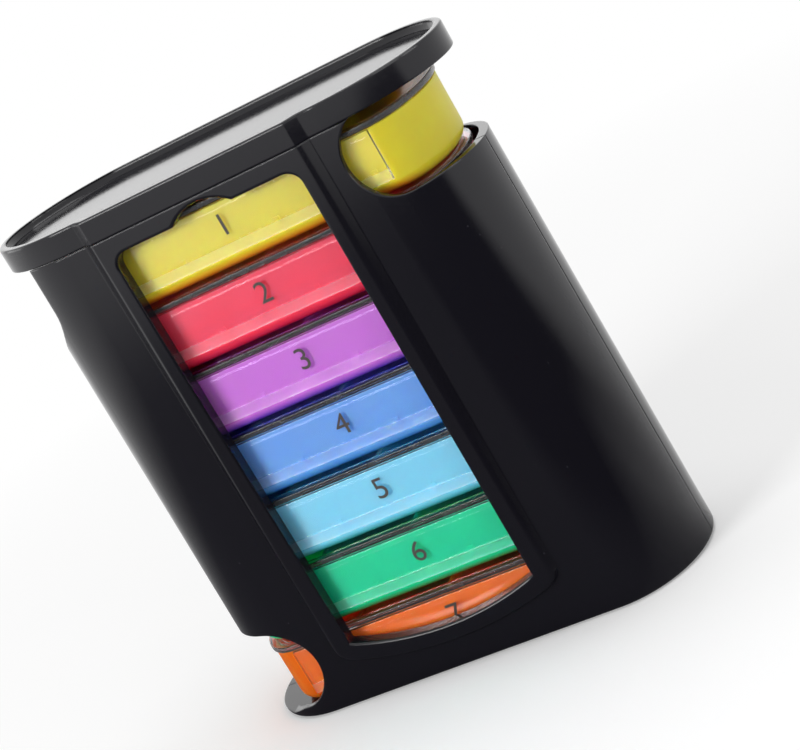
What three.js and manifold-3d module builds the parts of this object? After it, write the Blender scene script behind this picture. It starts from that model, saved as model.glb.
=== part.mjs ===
// A weekly pill organizer: a black tower case in two shells under a recessed cap, with seven stacked
// trays. Each tray has four compartments, a clear lid and a clear label plate on its front.
// Millimetres, +X to the right, -Y to the front, +Z up, origin at the middle of the footprint.
import * as THREE from "three";
import { mergeVertices } from "three/addons/utils/BufferGeometryUtils.js";
import Module from "manifold-3d";

const wasm = await Module();
wasm.setup();

// Overall size.
const WIDTH = 117;
const DEPTH = 45;
const HEIGHT = 130;

// Clearances between pieces.
const SEAT_GAP = 0.3; // between a piece and what it rests on or is joined to
const SIDE_PLAY = 0.8; // between a lid and the front or rear wall
const END_PLAY = 2.1; // between a lid and an end wall
const HEAD_ROOM = 2.5; // between the top lid and the cap

// Case: two shells that meet on the middle plane, wider at the foot than at the top.
const CASE_WALL = 1.5;
const CASE_END_WALL = 2.4;
const CASE_FLOOR = 1.4;
const CASE_DRAFT = 1.9; // how much further the foot reaches at each end than the top
const CAVITY_DRAFT = 0.8;
const CASE_END_LENGTH = 20; // length of each rounded end
const CAVITY_SQUARER = 2.4; // how much shorter the rounded ends are inside
const FOOT_ROUND = 1.2;

// Cap: a plate with an upright rim, standing past the case at both ends.
const CAP_OVERHANG = 2.7;
const CAP_BAND = 5.7;
const CAP_RIM = 1.8;
const CAP_RECESS = 1.8;
const CAP_END_LENGTH = 26;
const CAP_EDGE = 0.4;
const CAP_RIB_HALF = 28;
const CAP_RIB_WALL = 1.2;
const CAP_RIB_DROP = 1.6;

// Raised panel on the front of the case and the cap.
const PANEL_RISE = 2;
const PANEL_HALF = 26.8;
const PANEL_BEVEL = 2.7;
const PANEL_FLARE = 1.6; // how much further out each side of its face stands at the foot than at the top
const PANEL_LOW = 7.2;
const PANEL_LOW_BEVEL = 0.5;
const PANEL_ARC = 90;
const PANEL_CORNER_REACH = 4;
const PANEL_CORNER_RISE = 3;

// Window through the raised panel, with a thumb notch in its top edge.
const WINDOW_HALF = 24;
const WINDOW_HEAD = 4.3; // from the window's top edge up to the cap
const WINDOW_SILL = 4.6; // from the panel's lowest point up to the window's
const WINDOW_ARC = 74;
const WINDOW_CORNER = 3.4;
const WINDOW_EDGE = 0.5;
const NOTCH_HALF = 7.6;
const NOTCH_RISE = 2.9;

// Openings: one at the right for the top tray, one at the left for the bottom tray, and a finger
// hole in the left end behind the top tray.
const OPENING_HEIGHT = 20.9;
const TOP_OPENING_INNER = 33.3;
const LOW_OPENING_INNER = 34.9;
const LOW_OPENING_SILL = 3; // height of its lowest point on the front
const LOW_OPENING_RAMP = 5; // how far to the left of that point its lower edge has come down to the floor
const LOW_OPENING_FLARE = 2;
const FINGER_HALF = 18;
const FINGER_DROP = 11.3; // from the cap down to the widest place
const FINGER_REACH = 13.8; // from the widest place down to the lowest

// Trays.
const DAYS = ["sunday", "monday", "tuesday", "wednesday", "thursday", "friday", "saturday"];
const COLOURS = [0xd8cf48, 0xee5468, 0xb86cc8, 0x6a9de4, 0x7ec8f0, 0x0cc896, 0xf07820];
const TRAY_WALL = 1.2;
const TRAY_FLOOR = 1.2;
const TRAY_ROUND = 3; // height of the foot's round, and how far it draws the ends in
const TRAY_SIDE_ROUND = 5.5; // how far it draws the front and the rear in
const COMPARTMENTS = 4;
const DIVIDER = 1.1;
const DIVIDER_DROP = 1.7;
const LID_THICK = 1.4;
const LID_OVERHANG = 1; // past the tray's front and rear walls
const LID_END_OVERHANG = 0.3;
const LID_SQUARER = 3.9; // how much shorter the lid's rounded ends are than the cavity's
const LID_EDGE = 0.4;
const LID_LIP = 0.9;
const LID_LIP_DROP = 1;
const LABEL_CLEAR = 0.3; // between a label plate's ends and the case's curving wall
const LABEL_THICK = 0.8;
const LABEL_FOOT = 3.4;
const LABEL_STRIP = 2.6; // height of the thicker strip along the foot
const LABEL_BORDER = 1.2; // width of the raised border along the top and both ends
const LABEL_PROUD = 0.15; // how far the strip and the border stand out
const LABEL_EDGE = 0.25;

// How far a cutter runs past what it cuts, and how finely round shapes are stepped.
const OVERRUN = 2;
const END_STEPS = 14;
const ROUND_STEPS = 3;
const CORNER_STEPS = 4;
const ARC_STEPS = 10;
const HOLE_STEPS = 14;

// Sizes and places worked out from the ones above.
const capBottom = HEIGHT - CAP_BAND;
const caseTop = capBottom - SEAT_GAP;
const caseY = PANEL_RISE / 2;
const caseHalfDepth = (DEPTH - PANEL_RISE) / 2;
const caseHalfTop = WIDTH / 2 - CAP_OVERHANG;
const caseHalfFoot = caseHalfTop + CASE_DRAFT;
const cavityHalfDepth = caseHalfDepth - CASE_WALL;
const cavityHalfTop = caseHalfTop - CASE_END_WALL;
const cavityEndLength = CASE_END_LENGTH - CASE_END_WALL - CAVITY_SQUARER;
const pitch = (capBottom - CASE_FLOOR - HEAD_ROOM) / DAYS.length;
const trayHeight = pitch - SEAT_GAP;
const lidBottom = trayHeight - LID_THICK;
const tubHeight = lidBottom - SEAT_GAP;
const lidHalf = cavityHalfTop - END_PLAY;
const lidHalfDepth = cavityHalfDepth - SIDE_PLAY;
const lidEndLength = cavityEndLength - LID_SQUARER;
const trayInnerRound = TRAY_ROUND - TRAY_WALL;
const trayInnerSideRound = TRAY_SIDE_ROUND - TRAY_WALL;
const windowTop = capBottom - WINDOW_HEAD;
const windowLow = PANEL_LOW + WINDOW_SILL;
const panelFront = DEPTH / 2;
const caseFront = caseHalfDepth - caseY;
const openingRadius = OPENING_HEIGHT / 2;
const farOut = WIDTH / 2 + OVERRUN;
const tubFront = lidHalfDepth - LID_OVERHANG - caseY;
const labelBack = tubFront + SEAT_GAP;
const labelFront = labelBack + LABEL_THICK + LABEL_PROUD;
const labelReach = (labelFront + caseY + LABEL_CLEAR) / cavityHalfDepth;
const labelHalf = cavityHalfTop - cavityEndLength + cavityEndLength * Math.sqrt(1 - labelReach ** 2);

// Base of tray number i, counted from the top.
function trayBase(i) {
  return CASE_FLOOR + SEAT_GAP + pitch * (DAYS.length - i) - pitch;
}

// Outline with straight sides and elliptical ends, counter-clockwise from above.
function endedOutline(halfLength, halfDepth, endLength) {
  const straight = halfLength - endLength;
  const points = [];
  for (const side of [1, -1]) {
    for (let i = 0; i <= END_STEPS; i++) {
      const angle = (-side * Math.PI) / 2 + (Math.PI * i) / END_STEPS;
      points.push([side * straight + endLength * Math.cos(angle), caseY + halfDepth * Math.sin(angle)]);
    }
  }
  return points;
}

// The same outline drawn in by one distance all round.
function insetOutline(halfLength, halfDepth, endLength, inset) {
  return endedOutline(halfLength - inset, halfDepth - inset, endLength - inset);
}

// Closed solid through outlines of equal point count, each at its own height, lowest first.
function loft(levels) {
  const count = levels[0].outline.length;
  const last = count * (levels.length - 1);
  const positions = levels.flatMap(({ outline, z }) => outline.flatMap(([x, y]) => [x, y, z]));
  const index = [];
  for (let start = 0; start < last; start += count) {
    for (let i = 0; i < count; i++) {
      const a = start + i;
      const b = start + ((i + 1) % count);
      index.push(a, b, b + count, a, b + count, a + count);
    }
  }
  const lid = ({ outline }) => {
    const contour = outline.map(([x, y]) => new THREE.Vector2(x, y));
    return THREE.ShapeUtils.triangulateShape(contour, []);
  };
  for (const [a, b, c] of lid(levels[0])) index.push(c, b, a);
  for (const [a, b, c] of lid(levels[levels.length - 1])) index.push(last + a, last + b, last + c);
  const geometry = new THREE.BufferGeometry();
  geometry.setAttribute("position", new THREE.Float32BufferAttribute(positions, 3));
  geometry.setIndex(index);
  return geometry;
}

// Geometry as a solid that can be joined and cut.
function solid(geometry) {
  const bare = geometry.clone();
  bare.deleteAttribute("normal");
  bare.deleteAttribute("uv");
  const merged = mergeVertices(bare);
  const vertProperties = merged.attributes.position.array;
  return new wasm.Manifold(new wasm.Mesh({ numProp: 3, vertProperties, triVerts: merged.index.array }));
}

// Solid lofted upwards.
function upright(levels) {
  return solid(loft(levels));
}

// Solid lofted towards the front: outlines hold x and height, and z is the distance in front of the middle.
function frontward(levels) {
  return solid(loft(levels).rotateX(Math.PI / 2));
}

// Solid lofted to the right: outlines hold y and height, and z is the distance to the right of the middle.
function sideways(levels) {
  const turn = new THREE.Matrix4().makeBasis(
    new THREE.Vector3(0, 1, 0),
    new THREE.Vector3(0, 0, 1),
    new THREE.Vector3(1, 0, 0),
  );
  return solid(loft(levels).applyMatrix4(turn));
}

// Box between two corners.
function block([x0, y0, z0], [x1, y1, z1]) {
  const box = new THREE.BoxGeometry(x1 - x0, y1 - y0, z1 - z0);
  return solid(box.translate((x0 + x1) / 2, (y0 + y1) / 2, (z0 + z1) / 2));
}

// Heights and insets of a quarter round at the foot of a piece.
function footRound(radius, base) {
  return Array.from({ length: ROUND_STEPS + 1 }, (_, k) => {
    const angle = (Math.PI * k) / (2 * ROUND_STEPS);
    return { inset: radius * (1 - Math.sin(angle)), z: base + radius * (1 - Math.cos(angle)) };
  });
}

// Outline of the panel: its foot is a shallow arc that turns up at both corners, where it is widest.
function panelOutline(half, topHalf, low) {
  const drop = (x) => low + PANEL_ARC - Math.sqrt(PANEL_ARC ** 2 - x ** 2);
  const turn = half - PANEL_CORNER_REACH;
  const slope = turn / Math.sqrt(PANEL_ARC ** 2 - turn ** 2);
  const knee = drop(turn) + slope * PANEL_CORNER_REACH;
  const corner = new THREE.QuadraticBezierCurve(
    new THREE.Vector2(turn, drop(turn)),
    new THREE.Vector2(half, knee),
    new THREE.Vector2(half, knee + PANEL_CORNER_RISE),
  ).getPoints(CORNER_STEPS);
  const arc = [];
  for (let i = 1; i < ARC_STEPS; i++) {
    const x = turn * ((2 * i) / ARC_STEPS - 1);
    arc.push([x, drop(x)]);
  }
  const right = corner.map(({ x, y }) => [x, y]);
  const left = corner.map(({ x, y }) => [-x, y]).reverse();
  return [[-topHalf, caseTop], ...left, ...arc, ...right, [topHalf, caseTop]];
}

// Outline of the window, grown by one distance all round.
function windowOutline(grow) {
  const half = WINDOW_HALF + grow;
  const top = windowTop + grow;
  const radius = WINDOW_ARC + grow;
  const centre = windowLow + WINDOW_ARC;
  const corner = WINDOW_CORNER + grow;
  const notchHalf = NOTCH_HALF + grow;
  const notchRadius = (notchHalf ** 2 + NOTCH_RISE ** 2) / (2 * NOTCH_RISE);
  const spread = Math.asin(half / radius);
  const notchSpread = Math.asin(notchHalf / notchRadius);
  const points = [];
  for (let i = 0; i <= ARC_STEPS; i++) {
    const angle = spread * ((2 * i) / ARC_STEPS - 1);
    points.push([radius * Math.sin(angle), centre - radius * Math.cos(angle)]);
  }
  for (let i = 0; i <= CORNER_STEPS; i++) {
    const angle = (Math.PI * i) / (2 * CORNER_STEPS);
    points.push([half - corner + corner * Math.cos(angle), top - corner + corner * Math.sin(angle)]);
  }
  for (let i = 0; i <= ARC_STEPS; i++) {
    const angle = notchSpread * (1 - (2 * i) / ARC_STEPS);
    const height = top + NOTCH_RISE - notchRadius + notchRadius * Math.cos(angle);
    points.push([notchRadius * Math.sin(angle), height]);
  }
  for (let i = 0; i <= CORNER_STEPS; i++) {
    const angle = Math.PI / 2 + (Math.PI * i) / (2 * CORNER_STEPS);
    points.push([corner - half + corner * Math.cos(angle), top - corner + corner * Math.sin(angle)]);
  }
  return points;
}

// Cutter for the opening at the right: its inner end is round, and it runs out under the cap.
function topOpening() {
  const x = TOP_OPENING_INNER + openingRadius;
  const z = trayBase(0) - SEAT_GAP + openingRadius;
  const outline = [];
  for (let i = 0; i <= HOLE_STEPS; i++) {
    const angle = Math.PI / 2 + (Math.PI * i) / HOLE_STEPS;
    outline.push([x + openingRadius * Math.cos(angle), z + openingRadius * Math.sin(angle)]);
  }
  outline.push([farOut, z - openingRadius], [farOut, z + openingRadius]);
  return frontward([
    { outline, z: -DEPTH },
    { outline, z: DEPTH },
  ]);
}

// Cutter for the opening at the left: its inner end is round, its lower edge comes down to the floor and
// its top edge flares at the end wall.
function lowOpening() {
  const x = -LOW_OPENING_INNER - openingRadius;
  const z = LOW_OPENING_SILL + openingRadius;
  const top = z + openingRadius;
  const flareX = -caseHalfFoot + LOW_OPENING_FLARE;
  const outline = [];
  for (let i = 0; i <= HOLE_STEPS; i++) {
    const angle = -Math.PI / 2 + (Math.PI * i) / HOLE_STEPS;
    outline.push([x + openingRadius * Math.cos(angle), z + openingRadius * Math.sin(angle)]);
  }
  for (let i = 0; i <= CORNER_STEPS; i++) {
    const angle = (Math.PI * i) / (2 * CORNER_STEPS);
    const up = LOW_OPENING_FLARE * (1 - Math.cos(angle));
    outline.push([flareX - LOW_OPENING_FLARE * Math.sin(angle), top + up]);
  }
  outline.push([-farOut, top + LOW_OPENING_FLARE], [-farOut, CASE_FLOOR], [x - LOW_OPENING_RAMP, CASE_FLOOR]);
  return frontward([
    { outline, z: -DEPTH },
    { outline, z: DEPTH },
  ]);
}

// Cutter for the finger hole in the left end.
function fingerHole() {
  const centre = capBottom - FINGER_DROP;
  const outline = [];
  for (let i = 0; i <= HOLE_STEPS; i++) {
    const angle = Math.PI + (Math.PI * i) / HOLE_STEPS;
    outline.push([caseY + FINGER_HALF * Math.cos(angle), centre + FINGER_REACH * Math.sin(angle)]);
  }
  outline.push([caseY + FINGER_HALF, centre + FINGER_REACH], [caseY - FINGER_HALF, centre + FINGER_REACH]);
  return sideways([
    { outline, z: -farOut },
    { outline, z: -labelHalf },
  ]);
}

// The whole case before it is parted on the middle plane.
function caseSolid() {
  const walls = footRound(FOOT_ROUND, 0).map(({ inset, z }) => ({
    outline: insetOutline(caseHalfFoot, caseHalfDepth, CASE_END_LENGTH, inset),
    z,
  }));
  walls.push({ outline: endedOutline(caseHalfTop, caseHalfDepth, CASE_END_LENGTH), z: caseTop });
  const skirtHalf = PANEL_HALF + PANEL_BEVEL;
  const skirt = panelOutline(skirtHalf, skirtHalf, PANEL_LOW);
  const face = panelOutline(PANEL_HALF + PANEL_FLARE, PANEL_HALF, PANEL_LOW + PANEL_LOW_BEVEL);
  const panel = frontward([
    { outline: skirt, z: caseFront - CASE_WALL / 2 },
    { outline: skirt, z: caseFront },
    { outline: face, z: panelFront },
  ]);
  const cavity = upright([
    {
      outline: endedOutline(cavityHalfTop + CAVITY_DRAFT, cavityHalfDepth, cavityEndLength),
      z: CASE_FLOOR,
    },
    { outline: endedOutline(cavityHalfTop, cavityHalfDepth, cavityEndLength), z: caseTop + OVERRUN },
  ]);
  const window = frontward([
    { outline: windowOutline(0), z: caseFront - CASE_WALL - OVERRUN },
    { outline: windowOutline(0), z: panelFront - WINDOW_EDGE },
    { outline: windowOutline(WINDOW_EDGE + OVERRUN), z: panelFront + OVERRUN },
  ]);
  return upright(walls)
    .add(panel)
    .subtract(cavity)
    .subtract(window)
    .subtract(topOpening())
    .subtract(lowOpening())
    .subtract(fingerHole());
}

// Half of the case, at the front or at the rear of the middle plane.
function caseShell(whole, atFront) {
  const near = SEAT_GAP / 2;
  const far = DEPTH;
  const half = atFront
    ? block([-farOut, -far, -OVERRUN], [farOut, -near, HEIGHT])
    : block([-farOut, near, -OVERRUN], [farOut, far, HEIGHT]);
  return whole.intersect(half);
}

// Plan of the raised panel where the cap carries it on, drawn in by one distance.
function capPanelPlan(inset) {
  const front = -panelFront + inset;
  const inside = -caseFront + CAP_RIM + inset;
  const spread = (PANEL_BEVEL * (inside - front)) / PANEL_RISE;
  const half = PANEL_HALF - inset;
  return [
    [-half, front],
    [half, front],
    [half + spread, inside],
    [-half - spread, inside],
  ];
}

// The cap with its recess, and two ribs below it that locate it between the front and rear walls.
function capSolid() {
  const levels = [
    { inset: CAP_EDGE, z: capBottom },
    { inset: 0, z: capBottom + CAP_EDGE },
    { inset: 0, z: HEIGHT - CAP_EDGE },
    { inset: CAP_EDGE, z: HEIGHT },
  ];
  const plan = (inset) => insetOutline(WIDTH / 2, caseHalfDepth, CAP_END_LENGTH, inset);
  const plate = upright(levels.map(({ inset, z }) => ({ outline: plan(inset), z })));
  const panel = upright(levels.map(({ inset, z }) => ({ outline: capPanelPlan(inset), z })));
  const sunk = [{ z: HEIGHT - CAP_RECESS }, { z: HEIGHT + OVERRUN }];
  const recess = upright(sunk.map(({ z }) => ({ outline: plan(CAP_RIM), z })));
  const panelRecess = upright(sunk.map(({ z }) => ({ outline: capPanelPlan(CAP_RIM), z })));
  let cap = plate.add(panel).subtract(recess.add(panelRecess));
  for (const side of [1, -1]) {
    const outer = caseY + side * (cavityHalfDepth - SEAT_GAP);
    const inner = outer - side * CAP_RIB_WALL;
    const rib = block(
      [-CAP_RIB_HALF, Math.min(outer, inner), capBottom - CAP_RIB_DROP],
      [CAP_RIB_HALF, Math.max(outer, inner), capBottom + CAP_EDGE],
    );
    cap = cap.add(rib);
  }
  return cap;
}

// Outline of the coloured tray, drawn in by one distance at the ends and one at the front and rear.
function trayOutline(inset, sideInset = inset) {
  const halfDepth = lidHalfDepth - LID_OVERHANG - sideInset;
  const reach = LID_END_OVERHANG + inset;
  return endedOutline(lidHalf - reach, halfDepth, lidEndLength - reach);
}

// A tray with its base at height zero: round at the foot, and divided into compartments.
function traySolid() {
  const levels = footRound(TRAY_ROUND, 0).map(({ inset, z }) => ({
    outline: trayOutline(inset, (inset * TRAY_SIDE_ROUND) / TRAY_ROUND),
    z,
  }));
  levels.push({ outline: trayOutline(0), z: tubHeight });
  const hollow = footRound(trayInnerRound, TRAY_FLOOR).map(({ inset, z }) => ({
    outline: trayOutline(TRAY_WALL + inset, TRAY_WALL + (inset * trayInnerSideRound) / trayInnerRound),
    z,
  }));
  hollow.push({ outline: trayOutline(TRAY_WALL), z: tubHeight + OVERRUN });
  let pockets = upright(hollow);
  const innerHalf = lidHalf - LID_END_OVERHANG - TRAY_WALL;
  for (let k = 1; k < COMPARTMENTS; k++) {
    const x = innerHalf * ((2 * k) / COMPARTMENTS - 1);
    const wall = block(
      [x - DIVIDER / 2, -DEPTH, 0],
      [x + DIVIDER / 2, DEPTH, tubHeight - DIVIDER_DROP],
    );
    pockets = pockets.subtract(wall);
  }
  return upright(levels).subtract(pockets);
}

// A clear lid: a slab with a lip that drops into the tray.
function lidSolid() {
  const outline = (inset) => insetOutline(lidHalf, lidHalfDepth, lidEndLength, inset);
  const slab = upright([
    { outline: outline(0), z: lidBottom },
    { outline: outline(0), z: trayHeight - LID_EDGE },
    { outline: outline(LID_EDGE), z: trayHeight },
  ]);
  const lip = (inset, from, to) => upright([from, to].map((z) => ({ outline: trayOutline(inset), z })));
  const reach = TRAY_WALL + SEAT_GAP;
  const ring = lip(reach, lidBottom - LID_LIP_DROP, lidBottom + LID_EDGE).subtract(
    lip(reach + LID_LIP, lidBottom - LID_LIP_DROP - OVERRUN, lidBottom),
  );
  return slab.add(ring);
}

// A clear label plate that stands on the tray's front, with a thicker strip along its foot and a raised
// border along its top and both ends.
function labelSolid() {
  const front = -labelBack - LABEL_THICK;
  const proud = front - LABEL_PROUD;
  const top = tubHeight;
  const outline = [
    [proud, LABEL_FOOT],
    [-labelBack, LABEL_FOOT],
    [-labelBack, top],
    [proud + LABEL_EDGE, top],
    [proud, top - LABEL_EDGE],
    [proud, top - LABEL_BORDER],
    [front, top - LABEL_BORDER - LABEL_PROUD],
    [front, LABEL_FOOT + LABEL_STRIP + LABEL_PROUD],
    [proud, LABEL_FOOT + LABEL_STRIP],
  ];
  let plate = sideways([
    { outline, z: -labelHalf },
    { outline, z: labelHalf },
  ]);
  for (const side of [1, -1]) {
    const ends = [side * labelHalf, side * (labelHalf - LABEL_BORDER)].sort((a, b) => a - b);
    plate = plate.add(block([ends[0], proud, LABEL_FOOT], [ends[1], -labelBack, top - LABEL_EDGE]));
  }
  return plate;
}

// Named mesh from a solid, lifted to its height.
function named(name, body, material, height = 0) {
  const { numProp, vertProperties, triVerts } = body.getMesh();
  const geometry = new THREE.BufferGeometry();
  geometry.setAttribute("position", new THREE.BufferAttribute(new Float32Array(vertProperties), numProp));
  geometry.setIndex(new THREE.BufferAttribute(new Uint32Array(triVerts), 1));
  geometry.computeVertexNormals();
  const mesh = new THREE.Mesh(geometry, material);
  mesh.name = name;
  mesh.position.z = height;
  return mesh;
}

const blackPlastic = () => new THREE.MeshStandardMaterial({ color: 0x1c1b20, roughness: 0.22, metalness: 0 });
const clearPlastic = () =>
  new THREE.MeshStandardMaterial({
    color: 0xdfe3ea,
    roughness: 0.1,
    metalness: 0,
    transparent: true,
    opacity: 0.45,
  });
const trayPlastic = (color) => new THREE.MeshStandardMaterial({ color, roughness: 0.35, metalness: 0 });

const organizer = new THREE.Group();
const whole = caseSolid();
organizer.add(named("front_shell", caseShell(whole, true), blackPlastic()));
organizer.add(named("rear_shell", caseShell(whole, false), blackPlastic()));
organizer.add(named("top_cap", capSolid(), blackPlastic()));
const tray = traySolid();
const lid = lidSolid();
const label = labelSolid();
DAYS.forEach((day, i) => {
  organizer.add(named(`tray_${day}`, tray, trayPlastic(COLOURS[i]), trayBase(i)));
  organizer.add(named(`lid_${day}`, lid, clearPlastic(), trayBase(i)));
  organizer.add(named(`label_${day}`, label, clearPlastic(), trayBase(i)));
});

export default organizer;
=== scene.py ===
"""Looks of a weekly pill organizer: a black tower case, a recessed cap and seven coloured trays.

Every length in a sub-assembly is in millimetres; meshes are turned to metres as they are made.
The lamps, the mats and the floor are in metres.
"""

from __future__ import annotations

import logging
import math
from collections.abc import Sequence
from dataclasses import dataclass, field
from enum import Enum
from typing import Any

import bmesh
import bpy
from mathutils import Matrix, Vector


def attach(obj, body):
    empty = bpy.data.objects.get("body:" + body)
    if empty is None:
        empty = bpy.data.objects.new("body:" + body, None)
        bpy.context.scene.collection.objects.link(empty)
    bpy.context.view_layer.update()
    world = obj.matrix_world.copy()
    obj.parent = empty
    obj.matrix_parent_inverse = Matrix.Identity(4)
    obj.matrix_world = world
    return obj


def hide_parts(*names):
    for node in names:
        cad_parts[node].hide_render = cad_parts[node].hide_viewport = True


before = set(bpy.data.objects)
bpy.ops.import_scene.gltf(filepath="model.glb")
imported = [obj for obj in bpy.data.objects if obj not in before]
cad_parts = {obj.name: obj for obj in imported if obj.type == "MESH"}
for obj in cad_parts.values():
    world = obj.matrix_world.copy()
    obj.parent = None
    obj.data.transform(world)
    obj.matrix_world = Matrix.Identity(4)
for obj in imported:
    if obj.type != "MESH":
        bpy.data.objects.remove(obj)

LOG = logging.getLogger("pill_organizer")
MM = 0.001
Point = tuple[float, float]
Triple = tuple[float, float, float]
Level = tuple[Sequence[Point], float]
NOISE_SPAN = (0.3, 0.7)  # where nearly all values of a noise texture lie


def linear(code: str, alpha: float = 1.0) -> tuple[float, float, float, float]:
    """Turns an sRGB hex colour to linear light.

    Args:
        code: Colour such as "#1a2b3c".
        alpha: Opacity to put after the three channels.

    Returns:
        Red, green, blue and alpha.
    """
    channels = [int(code[i : i + 2], 16) / 255 for i in (1, 3, 5)]
    red, green, blue = (c / 12.92 if c <= 0.04045 else ((c + 0.055) / 1.055) ** 2.4 for c in channels)
    return red, green, blue, alpha


def per_spacing(spacing_mm: float) -> float:
    """Scale of a texture whose features stand this many millimetres apart."""
    return 1 / (spacing_mm * MM)


def add_node(
    tree: bpy.types.NodeTree, kind: str, inputs: dict[str | int, Any] | None = None, **settings: Any
) -> bpy.types.Node:
    """Adds one shader node with its settings and links.

    Args:
        tree: Node tree that gets the node.
        kind: Type name of the node.
        inputs: Input names or numbers, each with a value or with the output that feeds it.
        settings: Attributes of the node.

    Returns:
        The new node.
    """
    node = tree.nodes.new(kind)
    for name, value in settings.items():
        setattr(node, name, value)
    for name, value in (inputs or {}).items():
        if isinstance(value, bpy.types.NodeSocket):
            tree.links.new(value, node.inputs[name])
        else:
            node.inputs[name].default_value = value
    return node


def noise(
    tree: bpy.types.NodeTree, place: bpy.types.NodeSocket, spacing_mm: float, detail: float = 2.0
) -> bpy.types.NodeSocket:
    """Adds soft noise.

    Args:
        tree: Node tree to add to.
        place: Coordinates to lay it by.
        spacing_mm: Distance between its features.
        detail: How much finer noise lies in it.

    Returns:
        The output with the noise.
    """
    inputs = {"Vector": place, "Scale": per_spacing(spacing_mm), "Detail": detail}
    return add_node(tree, "ShaderNodeTexNoise", inputs).outputs[0]


def ramp(
    tree: bpy.types.NodeTree, value: bpy.types.NodeSocket, span: Point, ends: Point = (0.0, 1.0)
) -> bpy.types.NodeSocket:
    """Maps a number from one span to another and holds it at both ends.

    Args:
        tree: Node tree to add to.
        value: The number.
        span: Where the first span starts and stops.
        ends: What the number becomes there.

    Returns:
        The output with the result.
    """
    inputs = {0: value, 1: span[0], 2: span[1], 3: ends[0], 4: ends[1]}
    return add_node(tree, "ShaderNodeMapRange", inputs).outputs[0]


def reckon(
    tree: bpy.types.NodeTree,
    operation: str,
    first: bpy.types.NodeSocket,
    second: bpy.types.NodeSocket | float = 0.0,
) -> bpy.types.NodeSocket:
    """Works one sum out.

    Args:
        tree: Node tree to add to.
        operation: Name of the operation.
        first: First number.
        second: Second number, where the operation has one.

    Returns:
        The output with the result.
    """
    return add_node(tree, "ShaderNodeMath", {0: first, 1: second}, operation=operation).outputs[0]


def blend(
    tree: bpy.types.NodeTree, share: bpy.types.NodeSocket, first: Any, second: Any
) -> bpy.types.NodeSocket:
    """Mixes two colours.

    Args:
        tree: Node tree to add to.
        share: Share of the second colour.
        first: First colour, or the output that gives it.
        second: Second colour, or the output that gives it.

    Returns:
        The output with the mixed colour.
    """
    return add_node(tree, "ShaderNodeMix", {0: share, 6: first, 7: second}, data_type="RGBA").outputs[2]


def bare_material(name: str) -> tuple[bpy.types.Material, bpy.types.NodeTree]:
    """Makes a material with an empty node tree.

    Args:
        name: Name of the material.

    Returns:
        The material and its tree.
    """
    material = bpy.data.materials.new(name)
    material.use_nodes = True
    material.node_tree.nodes.clear()
    return material, material.node_tree


def linked(name: str, data: bpy.types.ID) -> bpy.types.Object:
    """Makes an object and links it to the scene.

    Args:
        name: Name of the object.
        data: Its mesh, curve, light or camera.

    Returns:
        The object.
    """
    item = bpy.data.objects.new(name, data)
    bpy.context.scene.collection.objects.link(item)
    return item


def disc(name: str, radius: float, segments: int) -> bpy.types.Object:
    """Makes a flat disc about the origin.

    Args:
        name: Name of the object.
        radius: Radius in metres.
        segments: Number of sides.

    Returns:
        The object.
    """
    bm = bmesh.new()
    bmesh.ops.create_circle(bm, cap_ends=True, segments=segments, radius=radius)
    mesh = bpy.data.meshes.new(name)
    bm.to_mesh(mesh)
    bm.free()
    return linked(name, mesh)


class Lay(Enum):
    """Which way a stack of outlines is laid."""

    UP = "up"
    FRONT = "front"
    RIGHT = "right"

    def place(self, a: float, b: float, height: float) -> Vector:
        """Point of an outline, in metres.

        Args:
            a: First coordinate in the outline.
            b: Second coordinate in the outline.
            height: Distance of the outline along the stack.

        Returns:
            The point in the part's frame.
        """
        spots = {Lay.UP: (a, b, height), Lay.FRONT: (a, -height, b), Lay.RIGHT: (height, a, b)}
        return Vector(spots[self]) * MM


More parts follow.
